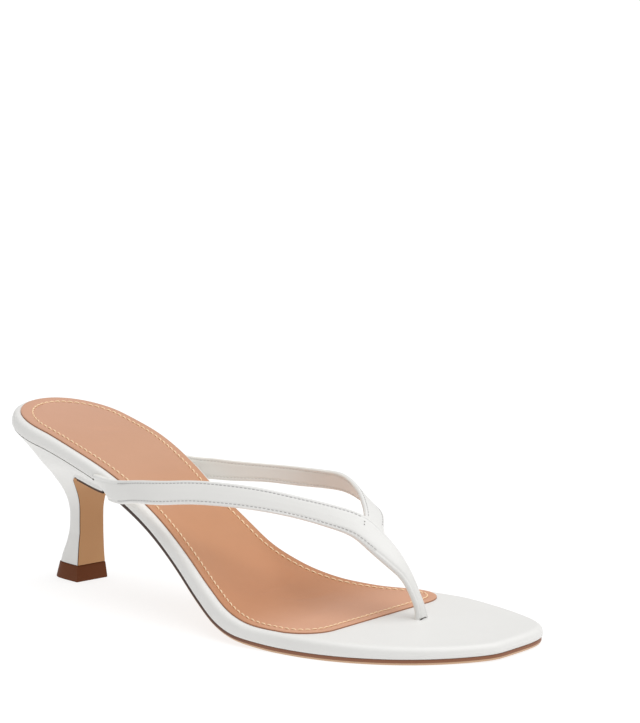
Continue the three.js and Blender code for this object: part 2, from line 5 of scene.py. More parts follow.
import bmesh
import bpy
import numpy as np
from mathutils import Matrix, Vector


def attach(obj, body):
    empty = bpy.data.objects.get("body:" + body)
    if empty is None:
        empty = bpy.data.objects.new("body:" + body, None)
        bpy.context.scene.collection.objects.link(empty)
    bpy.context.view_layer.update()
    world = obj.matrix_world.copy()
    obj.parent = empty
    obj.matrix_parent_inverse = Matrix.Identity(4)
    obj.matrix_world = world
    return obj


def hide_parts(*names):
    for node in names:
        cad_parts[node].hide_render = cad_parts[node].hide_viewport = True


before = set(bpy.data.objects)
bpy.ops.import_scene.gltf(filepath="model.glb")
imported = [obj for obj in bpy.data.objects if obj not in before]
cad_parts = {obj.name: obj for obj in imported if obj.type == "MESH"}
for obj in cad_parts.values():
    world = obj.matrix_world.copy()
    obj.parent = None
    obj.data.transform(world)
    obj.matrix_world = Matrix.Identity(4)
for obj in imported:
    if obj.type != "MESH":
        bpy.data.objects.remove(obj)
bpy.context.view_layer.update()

MM = 0.001

# Driving sizes, in millimetres. The sock's front and the heel's foot follow the photograph a little closer
# than the part does; all else is as in the part
SOLE_LENGTH = 229.5
BALL_WIDTH = 88.0
HEEL_RISE = 59.8
TOE_SPRING = 0.6
HEEL_SET = 25.0
HEEL_SIDE = 4.4
TOE_AXIS = 0.9
OUTSOLE_THICKNESS = 1.8
SHANK_THICKNESS = 1.3
BED_THICKNESS = 5.4
TOE_THICKNESS = 4.2
CLEARANCE = 0.3
BED_EDGE_RADIUS = 2.4
BED_LOWER_RADIUS = 0.9
RIM = 2.6
OUTSOLE_INSET = 0.5
OUTSOLE_BEVEL = 0.5
INSOLE_FRONT = 172.5
INSOLE_OUTER_CORNER = 14.0
INSOLE_INNER_CORNER = 18.0
INSOLE_OUTER_SHIFT = 0.35
INSOLE_INNER_SHIFT = 1.35
SEAT_WIDTH = 50.0
HEEL_INSET = 0.6
HEEL_TURN = math.radians(12)
TOP_PIECE_HEIGHT = 6.3
TOP_PIECE_SPREAD = 0.5
BREAST_THICKNESS = 1.1
WIDEST_SHARE = 0.45
COLUMN_SQUARENESS = 3.0
SEAT_SQUARENESS = 2.1
COLUMN_ENDS = 0.6
SEAT_STARTS = 0.8
STRAP_WIDTH = 9.0
STRAP_THICKNESS = 1.8
STRAP_ARCH = 40.0
HEEL_CLOSES = 0.121
OUTER_TOE_CLOSES = 0.700
INNER_TOE_CLOSES = 0.775
TOE_LIFTS = 0.885
SHANK_ENDS = 0.55
FOREFOOT_STARTS = 0.68
UNDERSIDE_EASE = 0.012


def table(columns, *rows):
    """A short table with named columns."""
    return {name: np.array([row[i] for row in rows], float) for i, name in enumerate(columns.split())}


OUTLINE = table(
    "along outer inner",
    (0.121, 0.245, 0.317),
    (0.201, 0.274, 0.301),
    (0.293, 0.293, 0.241),
    (0.380, 0.318, 0.188),
    (0.450, 0.362, 0.188),
    (0.510, 0.411, 0.247),
    (0.567, 0.457, 0.338),
    (0.630, 0.478, 0.440),
    (0.700, 0.469, 0.519),
    (0.775, 0.451, 0.547),
)
HEEL_END = (2.1, 2.1)
OUTER_TOE = (2.1, 1.25)
INNER_TOE = (1.3, 5.8)

UNDERSIDE = table(
    "along rise bed",
    (0.000, 1.000, 1.00),
    (0.094, 0.924, 1.00),
    (0.183, 0.850, 0.90),
    (0.271, 0.740, 0.90),
    (0.358, 0.575, 0.92),
    (0.447, 0.356, 0.99),
    (0.493, 0.229, 1.07),
    (0.542, 0.114, 1.14),
    (0.593, 0.040, 1.09),
    (0.644, 0.013, 0.95),
    (0.684, 0.000, 1.00),
)

HEEL_SECTIONS = table(
    "up front back waist breast side",
    (0.000, 0.150, 0.150, 0.146, 0.136, 0.002),
    (0.104, 0.144, 0.116, 0.136, 0.130, 0.002),
    (0.157, 0.142, 0.098, 0.127, 0.125, 0.003),
    (0.252, 0.141, 0.044, 0.120, 0.118, 0.006),
    (0.330, 0.141, 0.018, 0.117, 0.112, 0.010),
    (0.417, 0.142, 0.008, 0.117, 0.112, 0.010),
    (0.490, 0.146, 0.022, 0.121, 0.115, 0.010),
    (0.563, 0.160, 0.040, 0.144, 0.134, 0.006),
    (0.626, 0.184, 0.064, 0.180, 0.168, 0.000),
    (0.666, 0.218, 0.082, 0.210, 0.200, -0.008),
    (0.716, 0.280, 0.110, 0.250, 0.244, -0.020),
    (0.770, 0.420, 0.146, 0.312, 0.300, -0.036),
)

OUTER_STRAP = table(
    "along side height lean sweep width",
    (0.272, -0.228, -0.175, 0, 56, 0.98),
    (0.279, -0.282, -0.150, 2, 50, 1.00),
    (0.299, -0.316, -0.088, 4, 24, 1.00),
    (0.329, -0.339, 0.005, 9, 7, 1.00),
    (0.375, -0.387, 0.226, 13, 0, 1.00),
    (0.433, -0.397, 0.459, 22, 0, 1.01),
    (0.486, -0.369, 0.700, 25, 0, 1.00),
    (0.541, -0.321, 0.907, 25, 0, 0.98),
    (0.594, -0.250, 1.013, 25, 0, 0.95),
    (0.640, -0.162, 1.001, 28, 0, 0.91),
    (0.680, -0.065, 0.925, 38, 0, 0.95),
    (0.714, 0.020, 0.834, 51, 0, 0.97),
    (0.742, 0.060, 0.689, 63, 0, 0.88),
    (0.770, 0.083, 0.547, 73, 0, 0.65),
    (0.787, 0.098, 0.409, 81, 0, 0.46),
    (0.801, 0.110, 0.218, 84, 0, 0.40),
    (0.809, 0.124, 0.067, 85, 0, 0.40),
    (0.811, 0.131, -0.071, 86, 0, 0.40),
)
INNER_STRAP = table(
    "along side height lean sweep width",
    (0.250, 0.194, -0.180, 0, 52, 0.84),
    (0.262, 0.239, -0.160, 4, 44, 0.86),
    (0.289, 0.266, -0.120, 8, 20, 0.86),
    (0.322, 0.282, -0.015, 16, 6, 0.89),
    (0.361, 0.292, 0.103, 17, 0, 0.84),
    (0.430, 0.318, 0.368, 16, 0, 0.81),
    (0.495, 0.330, 0.624, 4, 0, 0.81),
    (0.549, 0.326, 0.837, -13, 0, 0.83),
    (0.597, 0.307, 0.961, -23, 0, 0.91),
    (0.640, 0.270, 0.956, -38, 0, 0.99),
    (0.674, 0.221, 0.916, -60, 0, 1.06),
    (0.701, 0.159, 0.871, -72, 0, 1.08),
    (0.718, 0.105, 0.797, -79, 0, 1.00),
    (0.728, 0.083, 0.742, -90, 0, 0.90),
    (0.738, 0.069, 0.655, -100, 0, 0.70),
)

# Where the straps are not even bands: extra width over the upper and under the lower edge, in millimetres
OUTER_EDGES = table(
    "row above below",
    (0.0, 3.2, 0.0),
    (1.0, 3.1, -0.3),
    (1.5, 1.0, -0.9),
    (2.0, 0.6, -0.9),
    (2.5, 0.4, -0.9),
    (3.0, 0.5, -0.6),
    (4.0, -0.4, 0.0),
    (5.0, 0.0, 0.0),
    (9.0, 0.0, 0.0),
    (10.0, 0.0, 0.3),
    (11.0, 0.0, 0.9),
    (12.0, 0.0, 1.6),
    (12.5, 0.0, 2.0),
    (13.0, 0.0, 2.2),
    (13.5, 0.0, 1.9),
    (14.0, 0.1, 1.2),
    (14.5, 0.5, 0.7),
    (15.5, 0.5, 0.4),
    (16.0, 0.5, 0.9),
    (16.5, 0.9, 1.7),
    (17.0, 1.2, 1.9),
)
INNER_EDGES = table(
    "row above below",
    (0.0, 0.6, 0.0),
    (2.0, 0.6, 0.0),
    (3.0, 0.0, 0.0),
    (4.0, 0.15, 0.0),
    (5.0, -0.4, 0.0),
    (6.0, 0.0, 0.0),
    (14.0, 0.0, 0.0),
)


# Form of the last

def smooth(t):
    t = np.clip(t, 0, 1)
    return t * t * (3 - 2 * t)


def line_through(rows, to, start="along"):
    """A smooth line through a table's rows that never passes beyond them."""
    x, y = rows[start], rows[to]
    chord = np.diff(y) / np.diff(x)
    slope = np.concatenate([chord[:1], chord[:1], chord[1:]])[:len(x)]
    for i in range(1, len(x) - 1):
        before, after = chord[i - 1], chord[i]
        share = (x[i] - x[i - 1]) / (x[i + 1] - x[i - 1])
        mixed = abs(before + (after - before) * share)
        steep = 3 * min(abs(before), abs(after))
        slope[i] = 0.0 if before * after <= 0 else math.copysign(min(steep, mixed), before)
    slope[-1] = chord[-1]

    def line(at):
        at = np.asarray(at, float)
        i = np.clip(np.searchsorted(x, at, side="right") - 1, 0, len(x) - 2)
        h = x[i + 1] - x[i]
        t = (at - x[i]) / h
        inside = (
            (2 * t**3 - 3 * t**2 + 1) * y[i] + (t**3 - 2 * t**2 + t) * h * slope[i]
            + (3 * t**2 - 2 * t**3) * y[i + 1] + (t**3 - t**2) * h * slope[i + 1]
        )
        low = y[0] + slope[0] * (at - x[0])
        high = y[-1] + slope[-1] * (at - x[-1])
        return np.where(at < x[0], low, np.where(at > x[-1], high, inside))

    return line


def bell(count, width):
    """Weights of a soft average over twice a count of neighbours."""
    weights = np.exp(-0.5 * (np.arange(-count, count + 1) / width) ** 2)
    return weights / weights.sum()


def softened(line, low, high, reach):
    step = reach / 12
    at = np.arange(low - 4 * reach, high + 4 * reach, step)
    eased = np.convolve(line(at), bell(36, 12), mode="valid")
    return lambda x: np.interp(x, at[36:-36], eased)


FLAT_FROM = UNDERSIDE["along"][-1]
rise_line = line_through(UNDERSIDE, "rise")
bed_line = line_through(UNDERSIDE, "bed")
outer_line = line_through(OUTLINE, "outer")
inner_line = line_through(OUTLINE, "inner")


def raw_under(along):
    lift = np.maximum(0, (along - TOE_LIFTS) / (1 - TOE_LIFTS))
    return np.where(along <= FLAT_FROM, HEEL_RISE * rise_line(along), TOE_SPRING * lift**2)


under_height = softened(raw_under, -0.1, 1.1, UNDERSIDE_EASE)


def outsole_thickness(along):
    forward = smooth((along - SHANK_ENDS) / (FOREFOOT_STARTS - SHANK_ENDS))
    return SHANK_THICKNESS + (OUTSOLE_THICKNESS - SHANK_THICKNESS) * forward


def bed_under(along):
    return outsole_thickness(along) + CLEARANCE


def bed_top(along):
    forward = smooth((along - OUTER_TOE_CLOSES) / (1 - OUTER_TOE_CLOSES))
    bed = BED_THICKNESS * bed_line(np.minimum(along, FLAT_FROM))
    return bed_under(along) + bed + (TOE_THICKNESS - bed) * forward


def sole_point(x, y, height):
    """A point of the sole: x from its back end, y from its own axis, height square to its underside."""
    x, y, height = np.broadcast_arrays(np.asarray(x, float), y, height)
    along = x / SOLE_LENGTH
    step = 0.002
    slope = (under_height(along + step) - under_height(along - step)) / (2 * step * SOLE_LENGTH)
    scale = np.hypot(1, slope)
    return np.stack([
        x - HEEL_SET - height * slope / scale,
        y - HEEL_SIDE,
        under_height(along) + height / scale,
    ], axis=-1)


def top_height(x):
    """Height of the footbed's top straight above a place on the sole's axis."""
    top = bed_top(x / SOLE_LENGTH)
    shift = sole_point(x, 0, top)[..., 0] + HEEL_SET - x
    return sole_point(x - shift, 0, top)[..., 2]


HEEL_MIDDLE = (float(inner_line(HEEL_CLOSES)) - float(outer_line(HEEL_CLOSES))) / 2 * BALL_WIDTH


def closing(t, shape):
    return np.maximum(0, 1 - np.clip(t, 0, 1) ** shape[0]) ** (1 / shape[1])


def edge_at(along, side):
    """The footbed's outer or inner edge, as a distance from the sole's axis."""
    line, toe_closes, toe = (
        (outer_line, OUTER_TOE_CLOSES, OUTER_TOE) if side < 0 else (inner_line, INNER_TOE_CLOSES, INNER_TOE)
    )
    full = side * line(np.clip(along, HEEL_CLOSES, toe_closes)) * BALL_WIDTH
    heel = HEEL_MIDDLE + (full - HEEL_MIDDLE) * closing(1 - along / HEEL_CLOSES, HEEL_END)
    toe = TOE_AXIS + (full - TOE_AXIS) * closing((along - toe_closes) / (1 - toe_closes), toe)
    return np.where(along < HEEL_CLOSES, heel, np.where(along > toe_closes, toe, full))


def resampled(points, count):
    """The same polyline with evenly spaced points."""
    points = np.asarray(points, float)
    run = np.concatenate([[0], np.cumsum(np.linalg.norm(np.diff(points, axis=0), axis=1))])
    at = np.linspace(0, run[-1], count)
    return np.stack([np.interp(at, run, points[:, i]) for i in range(points.shape[1])], axis=1)


def eased_loop(loop, reach):
    """A closed loop with its corners eased; the points are evenly spaced."""
    spacing = np.linalg.norm(np.roll(loop, -1, axis=0) - loop, axis=1).mean()
    width = reach / spacing
    count = int(4 * width) + 1
    wrapped = np.concatenate([loop[-count:], loop, loop[:count]])
    weights = bell(count, width)
    return np.stack([np.convolve(wrapped[:, i], weights, mode="valid") for i in range(2)], axis=1)


def unit_rows(rows):
    """Rows of vectors, each brought to length 1."""
    return rows / np.linalg.norm(rows, axis=1)[:, None]


def inset(loop, distance):
    """A closed loop moved inwards, square to itself. The loop runs up the outer side first."""
    run = unit_rows(np.roll(loop, -1, axis=0) - np.roll(loop, 1, axis=0))
    return loop + np.stack([-run[:, 1], run[:, 0]], axis=1) * distance


def two_sides(loop):
    """A loop's outer and inner points, both from the back to the front."""
    half = len(loop) // 2
    return loop[: half + 1], np.concatenate([loop[:1], loop[: half - 1: -1]])


SIDE_POINTS = 220
EDGE_EASE = 1.6
TOE_EASE = 3.0
TOE_EASE_FROM = 0.80
TOE_EASE_OVER = 0.08


def sole_sides():
    """The footbed's edge as one loop: up the outer side to the toe, back down the inner side."""
    turn = (1 - np.cos(np.linspace(0, math.pi, 1600))) / 2
    outer = resampled(np.stack([turn * SOLE_LENGTH, edge_at(turn, -1)], axis=1), SIDE_POINTS)
    inner = resampled(np.stack([turn * SOLE_LENGTH, edge_at(turn, 1)], axis=1), SIDE_POINTS)
    loop = np.concatenate([outer, inner[-2:0:-1]])
    toe = smooth((loop[:, :1] / SOLE_LENGTH - TOE_EASE_FROM) / TOE_EASE_OVER)
    return eased_loop(loop, EDGE_EASE) * (1 - toe) + eased_loop(loop, TOE_EASE) * toe


SOLE_LOOP = sole_sides()


# Meshes

def turn_outwards(mesh):
    """Welds equal points and turns every face outwards."""
    work = bmesh.new()
    work.from_mesh(mesh)
    bmesh.ops.remove_doubles(work, verts=work.verts, dist=2e-6)
    bmesh.ops.recalc_face_normals(work, faces=work.faces)
    work.to_mesh(mesh)
    work.free()


def new_object(name, points, faces, materials, picks=None, edges_sharp=30):
    mesh = bpy.data.meshes.new(name)
    mesh.from_pydata([tuple(p) for p in np.asarray(points) * MM], [], [tuple(f) for f in faces])
    for material in materials:
        mesh.materials.append(material)
    if picks is not None:
        mesh.polygons.foreach_set("material_index", picks)
    mesh.validate()
    turn_outwards(mesh)
    mesh.update()
    mesh.polygons.foreach_set("use_smooth", [True] * len(mesh.polygons))
    piece = bpy.data.objects.new(name, mesh)
    bpy.context.scene.collection.objects.link(piece)
    bpy.context.view_layer.objects.active = piece
    piece.select_set(True)
    bpy.ops.object.shade_smooth_by_angle(angle=math.radians(edges_sharp))
    piece.select_set(False)
    return piece


def loft_faces(count, levels, closed=True):
    """Quads between levels of the same number of points."""
    faces = []
    last = count if closed else count - 1
    for level in range(levels - 1):
        for i in range(last):
            n = (i + 1) % count
            a, b = level * count, (level + 1) * count
            faces.append((a + i, a + n, b + n, b + i))
    return faces


class Builder:
    """Collects points and faces, with a material for each face."""

    def __init__(self):
        self.points = []
        self.faces = []
        self.picks = []

    def add(self, points, faces, pick=0, flip=False):
        start = len(self.points)
        self.points.extend(np.asarray(points, float).reshape(-1, 3).tolist())
        for face in faces:
            order = reversed(face) if flip else face
            self.faces.append([start + i for i in order])
            self.picks.append(pick)

    def grid(self, rows, pick=0, flip=False):
        rows = np.asarray(rows)
        self.add(rows.reshape(-1, 3), loft_faces(rows.shape[1], rows.shape[0], closed=False), pick, flip)

    def make(self, name, materials, edges_sharp=30):
        return new_object(name, self.points, self.faces, materials, self.picks, edges_sharp)


def add_levels(builder, levels, pick=lambda i: 0):
    """A skin between closed levels of the same number of points."""
    for i in range(len(levels) - 1):
        builder.add(np.concatenate(levels[i:i + 2]), loft_faces(len(levels[0]), 2), pick(i))


def add_rings(builder, loop, rings, pick=lambda i: 0, further=lambda distance: 0.0):
    """A skin along the sole. A ring is (inset, height over the underside at a share of the length)."""
    flats = [inset(loop, distance + further(distance)) for distance, height in rings]
    levels = [
        sole_point(flat[:, 0], flat[:, 1], height(flat[:, 0] / SOLE_LENGTH))
        for flat, (distance, height) in zip(flats, rings)
    ]
    add_levels(builder, levels, pick)
    return flats


def between(outer, inner, across):
    """Rows of points from each outer point straight to its inner one."""
    share = np.linspace(0, 1, across + 1)[None, :, None]
    return outer[:, None, :] + (inner - outer)[:, None, :] * share


def add_caps(builder, rings, grids, picks=(0, 0), dome=None):
    """Closes the first and last ring with grids of points. A dome shapes the last one."""
    for end, flip in ((0, True), (-1, False)):
        grid = grids[end]
        height = rings[end][1](grid[..., 0] / SOLE_LENGTH)
        if dome is not None and end == -1:
            height = height + dome(grid)
        builder.grid(sole_point(grid[..., 0], grid[..., 1], height), picks[end], flip)


def rounded(radius, angles, height, sign):
    """Rings of a rounded edge. Angles run from 0 at the side to 90 at the top or, for -1, the underside."""
    rings = []
    for angle in np.radians(angles):
        drop = sign * radius * (1 - math.sin(angle))
        rings.append((radius * (1 - math.cos(angle)), lambda along, drop=drop: height(along) - drop))
    return rings


# Materials

def material(name):
    made = bpy.data.materials.new(name)
    made.use_nodes = True
    return made, made.node_tree.nodes, made.node_tree.links


def node(nodes, kind, **values):
    made = nodes.new(kind)
    for key, value in values.items():
        if hasattr(made, key):
            setattr(made, key, value)
        else:
            made.inputs[key.replace("_", " ")].default_value = value
    return made


PATCH_SIZE = 18.0
PATCH_MIX = 0.5
PATCH_DARKER = 0.93
ROUGHNESS_SPREAD = 0.06


def textured(name, colour, other, roughness, grain, grain_depth, coat=0.0, coat_roughness=0.3,
             specular=0.5, wave=0.0, tones=()):
    """Leather: two tones mixed in soft patches, fine grain, and slow swells, all in real sizes."""
    made, nodes, links = material(name)
    shader = nodes["Principled BSDF"]
    shader.inputs["Coat Weight"].default_value = coat
    shader.inputs["Coat Roughness"].default_value = coat_roughness
    shader.inputs["Specular IOR Level"].default_value = specular
    place = node(nodes, "ShaderNodeTexCoord")
    patches = node(nodes, "ShaderNodeTexNoise", Scale=1000 / PATCH_SIZE, Detail=3.0, Roughness=0.55)
    links.new(place.outputs["Object"], patches.inputs["Vector"])
    spread = node(nodes, "ShaderNodeMapRange")
    spread.inputs["From Min"].default_value = 0.3
    spread.inputs["From Max"].default_value = 0.7
    spread.inputs["To Max"].default_value = PATCH_MIX
    links.new(patches.outputs["Fac"], spread.inputs["Value"])
    mix = node(nodes, "ShaderNodeMix", data_type="RGBA")
    mix.inputs["A"].default_value = (*colour, 1)
    mix.inputs["B"].default_value = (*other, 1)
    links.new(spread.outputs["Result"], mix.inputs["Factor"])
    if tones:
        # Tones along the shoe, each darkened by the same patches
        parts = node(nodes, "ShaderNodeSeparateXYZ")
        links.new(place.outputs["Object"], parts.inputs["Vector"])
        share = node(nodes, "ShaderNodeMapRange")
        share.inputs["From Min"].default_value = tones[0][0] * MM
        share.inputs["From Max"].default_value = tones[-1][0] * MM
        links.new(parts.outputs["X"], share.inputs["Value"])
        ramp = node(nodes, "ShaderNodeValToRGB")
        ramp.color_ramp.interpolation = "EASE"
        links.new(share.outputs["Result"], ramp.inputs["Fac"])
        marks = ramp.color_ramp.elements
        while len(marks) < len(tones):
            marks.new(0.5)
        for mark, (x, tone) in zip(marks, tones):
            mark.position = (x - tones[0][0]) / (tones[-1][0] - tones[0][0])
        for mark, (x, tone) in zip(marks, tones):
            mark.color = (*tone, 1)
        darker = node(nodes, "ShaderNodeHueSaturation", Value=PATCH_DARKER)
        links.new(ramp.outputs["Color"], darker.inputs["Color"])
        links.new(ramp.outputs["Color"], mix.inputs["A"])
        links.new(darker.outputs["Color"], mix.inputs["B"])
    links.new(mix.outputs["Result"], shader.inputs["Base Color"])
    fine = node(nodes, "ShaderNodeTexVoronoi", feature="SMOOTH_F1", Scale=1000 / grain)
    links.new(place.outputs["Object"], fine.inputs["Vector"])
    small = node(nodes, "ShaderNodeTexNoise", Scale=2200 / grain, Detail=4.0)
    links.new(place.outputs["Object"], small.inputs["Vector"])
    both = node(nodes, "ShaderNodeMath", operation="MULTIPLY_ADD")
    both.inputs[1].default_value = 0.5
    links.new(small.outputs["Fac"], both.inputs[0])
    links.new(fine.outputs["Distance"], both.inputs[2])
    bump = node(nodes, "ShaderNodeBump", Strength=0.5, Distance=grain_depth * MM)
    links.new(both.outputs["Value"], bump.inputs["Height"])
    last = bump
    if wave:
        slow = node(nodes, "ShaderNodeTexNoise", Scale=90.0, Detail=1.0)
        links.new(place.outputs["Object"], slow.inputs["Vector"])
        swell = node(nodes, "ShaderNodeBump", Strength=0.6, Distance=wave * MM)
        links.new(slow.outputs["Fac"], swell.inputs["Height"])
        links.new(bump.outputs["Normal"], swell.inputs["Normal"])
        last = swell
    links.new(last.outputs["Normal"], shader.inputs["Normal"])
    rough = node(nodes, "ShaderNodeMapRange")
    rough.inputs["To Min"].default_value = roughness - ROUGHNESS_SPREAD
    rough.inputs["To Max"].default_value = roughness + ROUGHNESS_SPREAD
    links.new(patches.outputs["Fac"], rough.inputs["Value"])
    links.new(rough.outputs["Result"], shader.inputs["Roughness"])
    return made


white_leather = textured("white_leather", (0.79, 0.785, 0.765), (0.76, 0.755, 0.735), 0.48, 0.75, 0.035,
                         coat=0.05, coat_roughness=0.3, wave=0.10)
lining = textured("strap_lining", (0.84, 0.82, 0.77), (0.79, 0.77, 0.72), 0.6, 0.6, 0.04)
tan_leather = textured(
    "tan_leather", (0.58, 0.30, 0.17), (0.54, 0.28, 0.16), 0.5, 0.55, 0.04, coat=0.05, coat_roughness=0.4,
    wave=0.08, tones=(
        (-20, (0.62, 0.338, 0.222)),
        (35, (0.585, 0.310, 0.188)),
        (75, (0.535, 0.250, 0.122)),
        (108, (0.525, 0.232, 0.110)),
        # The light tone at 138 mm is painted light: it lifts the shade that the outer strap casts on the
        # forefoot
        (138, (0.66, 0.345, 0.212)),
        (170, (0.56, 0.315, 0.20)),
    ),
)
breast_leather = textured("breast_leather", (0.52, 0.275, 0.115), (0.485, 0.25, 0.103), 0.45, 0.6, 0.03)
dark_ink = textured("dark_ink", (0.075, 0.034, 0.02), (0.055, 0.026, 0.016), 0.6, 0.8, 0.03, specular=0.2)
SHANK_TONES = ((85, (0.060, 0.036, 0.028)), (135, (0.27, 0.105, 0.05)))
brown_edge = textured("brown_edge", (0.27, 0.105, 0.05), (0.2, 0.08, 0.04), 0.5, 0.8, 0.03,
                      tones=SHANK_TONES)
cut_edge = textured("cut_edge", (0.36, 0.145, 0.07), (0.30, 0.12, 0.06), 0.6, 0.8, 0.03)
pale_edge = textured("pale_edge", (0.62, 0.41, 0.26), (0.56, 0.36, 0.22), 0.55, 0.8, 0.03,
                     tones=((55, (0.09, 0.055, 0.04)), (100, (0.62, 0.40, 0.25))))
sole_leather = textured("sole_leather", (0.50, 0.27, 0.125), (0.45, 0.235, 0.105), 0.5, 0.9, 0.04)
lift = textured("heel_lift", (0.145, 0.042, 0.012), (0.125, 0.035, 0.010), 0.5, 0.9, 0.03, specular=0.15)
cream_thread = textured("cream_thread", (0.93, 0.70, 0.46), (0.88, 0.64, 0.41), 0.7, 0.3, 0.06)
# The strap thread is white; its colour is greyed as painted shade of the stitch holes
white_thread_painted_grey_shade = textured("white_thread_painted_grey_shade", (0.42, 0.41, 0.41), (0.36, 0.35, 0.35), 0.75, 0.3, 0.06)
lining_thread = textured("lining_thread", (0.72, 0.70, 0.66), (0.66, 0.64, 0.60), 0.75, 0.3, 0.06)
# Dark thread for the tack stitches, also used as painted shade in the gap at the strap's start and in the
# slit at the post's base
tack_thread_and_painted_shade = textured("tack_thread_and_painted_shade", (0.10, 0.09, 0.08), (0.08, 0.07, 0.065), 0.75, 0.3, 0.06)


# Footbed, insole and outsole

FOOTBED_ACROSS = 36
SIDE_SWELLS = ((0.25, 0.08), (0.5, 0.12), (0.75, 0.08))    # share of the side's height, swell


def make_footbed():
    """Board wrapped in white leather, with a rolled upper edge and a soft square toe."""

    def side(share):
        low = lambda a: (bed_under(a) + BED_LOWER_RADIUS) * (1 - share)
        return lambda a: low(a) + (bed_top(a) - BED_EDGE_RADIUS) * share

    rings = [(BED_LOWER_RADIUS + 1.5, bed_under)]
    rings += rounded(BED_LOWER_RADIUS, np.linspace(90, 0, 5), bed_under, -1)
    rings += [(-swell, side(share)) for share, swell in SIDE_SWELLS]
    rings += rounded(BED_EDGE_RADIUS, np.linspace(0, 90, 10), bed_top, 1)
    rings.append((BED_EDGE_RADIUS + 1.2, bed_top))
    builder = Builder()
    flats = add_rings(builder, SOLE_LOOP, rings)
    add_caps(builder, rings, [between(*two_sides(flat), FOOTBED_ACROSS) for flat in (flats[0], flats[-1])])
    return builder.make("footbed_wrap", [white_leather], 50)


STITCH_INSET = 3.4
STITCH_HEEL_INSET = 1.2
INSOLE_LIFT = 0.75
INSOLE_POINTS = 200
INSOLE_ACROSS = 40
TOE_TURN_POINTS = 21    # points of a side that lie round the toe, past the sock's front
CORNER_START = 0.08


def stitch_shift(loop):
    """How much further in the stitches run round the heel end."""
    return STITCH_HEEL_INSET * (1 - smooth((loop[:, :1] - 4) / 24))


def trimmed(side, radius, sign, front):
    """A side of the sock, cut off in front and turned inwards by a rounded corner."""
    straight = side[:-TOE_TURN_POINTS]
    edge = lambda x: np.interp(x, straight[:, 0], straight[:, 1])
    start = front - radius
    slope = (edge(start) - edge(start - 2)) / 2
    arc = []
    for angle in np.linspace(CORNER_START, math.pi / 2, 24):
        x = start + radius * math.sin(angle)
        arc.append((x, edge(start) + slope * (x - start) - sign * radius * (1 - math.cos(angle))))
    return np.concatenate([side[side[:, 0] < start], [(start, edge(start))], arc])


def insole_outline(count, across):
    """The sock's edge: up the outer side, straight across in front, down the inner side."""
    outer, inner = two_sides(inset(SOLE_LOOP, RIM))
    outer = resampled(trimmed(outer, INSOLE_OUTER_CORNER, -1, INSOLE_FRONT + INSOLE_OUTER_SHIFT), count)
    inner = resampled(trimmed(inner, INSOLE_INNER_CORNER, 1, INSOLE_FRONT + INSOLE_INNER_SHIFT), count)
    front = outer[-1] + (inner[-1] - outer[-1]) * np.linspace(0, 1, across + 1)[1:-1, None]
    return np.concatenate([outer, front, inner[:0:-1]])


# Soft creases: middle (from the sole's back end and axis), turn, half length, half width, depth
INSOLE_CREASES = (
    (38.0, 4.0, 1.25, 7.0, 1.5, 0.24),
    (47.0, -9.0, 1.45, 5.0, 1.4, 0.2),
    (66.0, 3.0, 1.60, 10.0, 2.0, 0.28),
    (73.0, -4.0, 1.50, 8.0, 1.8, 0.2),
    (128.0, -6.0, 1.55, 16.0, 2.6, 0.34),
    (141.0, 4.0, 1.40, 14.0, 2.4, 0.28),
    (152.0, -12.0, 1.70, 10.0, 2.2, 0.14),
)
# Creases of each strap: row, share of the half width, half length in rows, depth
STRAP_CREASES = (
    (1.5, 0.5, 0.16, 0.22),
    (2.15, -0.4, 0.14, 0.14),
    (3.1, 0.6, 0.30, 0.10),
)
PAD_HEIGHT = 0.35


def make_insole():
    """Tan leather sock: thin, with a softened cut edge and a shallow furrow under its stitches."""
    profile = (
        (0.0, 0.03),
        (0.0, 0.45),
        (0.10, 0.62),
        (0.32, INSOLE_LIFT),
        (1.2, INSOLE_LIFT + 0.05),
        (STITCH_INSET - 0.9, INSOLE_LIFT + 0.03),
        (STITCH_INSET - 0.45, INSOLE_LIFT - 0.08),
        (STITCH_INSET, INSOLE_LIFT - 0.16),
        (STITCH_INSET + 0.45, INSOLE_LIFT - 0.06),
        (STITCH_INSET + 1.0, INSOLE_LIFT + 0.08),
    )
    rings = [(distance, lambda along, lift=lift: bed_top(along) + lift) for distance, lift in profile]
    loop = insole_outline(INSOLE_POINTS, INSOLE_ACROSS)

    def further(distance):
        return stitch_shift(loop) if distance > STITCH_INSET - 1 else 0.0

    def pad(grid):
        middle = np.sin(math.pi * np.linspace(0, 1, INSOLE_ACROSS + 1))[None, :]
        before_front = grid[-1, :, 0].min() - grid[..., 0]
        height = PAD_HEIGHT * smooth(middle * 1.6) * smooth(before_front / 14)
        for x, y, turn_by, length, width, depth in INSOLE_CREASES:
            run = (grid[..., 0] - x) * math.cos(turn_by) + (grid[..., 1] - y) * math.sin(turn_by)
            off = (grid[..., 1] - y) * math.cos(turn_by) - (grid[..., 0] - x) * math.sin(turn_by)
            bend = off - 0.02 * run**2
            height = height - depth * np.exp(-(bend / width) ** 2) * np.exp(-(run / length) ** 4)
        return height

    builder = Builder()
    flats = add_rings(builder, loop, rings, lambda i: 1 if i < 1 else 0, further)
    front, back = INSOLE_POINTS, INSOLE_POINTS + INSOLE_ACROSS - 1
    caps = []
    for flat in (flats[0], flats[-1]):
        outer = flat[:front]
        inner = np.concatenate([flat[:1], flat[back:][::-1]])
        grid = between(outer, inner, INSOLE_ACROSS)
        grid[-1] = np.concatenate([outer[-1:], flat[front:back], inner[-1:]])
        caps.append(grid)
    add_caps(builder, rings, caps, (1, 0), pad)
    return builder.make("insole_sock", [tan_leather, cut_edge], 40)


OUTSOLE_BACK_OUTER = 63.0
OUTSOLE_BACK_INNER = 66.0
OUTSOLE_POINTS = 220
OUTSOLE_ACROSS = 16
OUTSOLE_RISE = 0.2    # how far its top stands up into the gap under the footbed
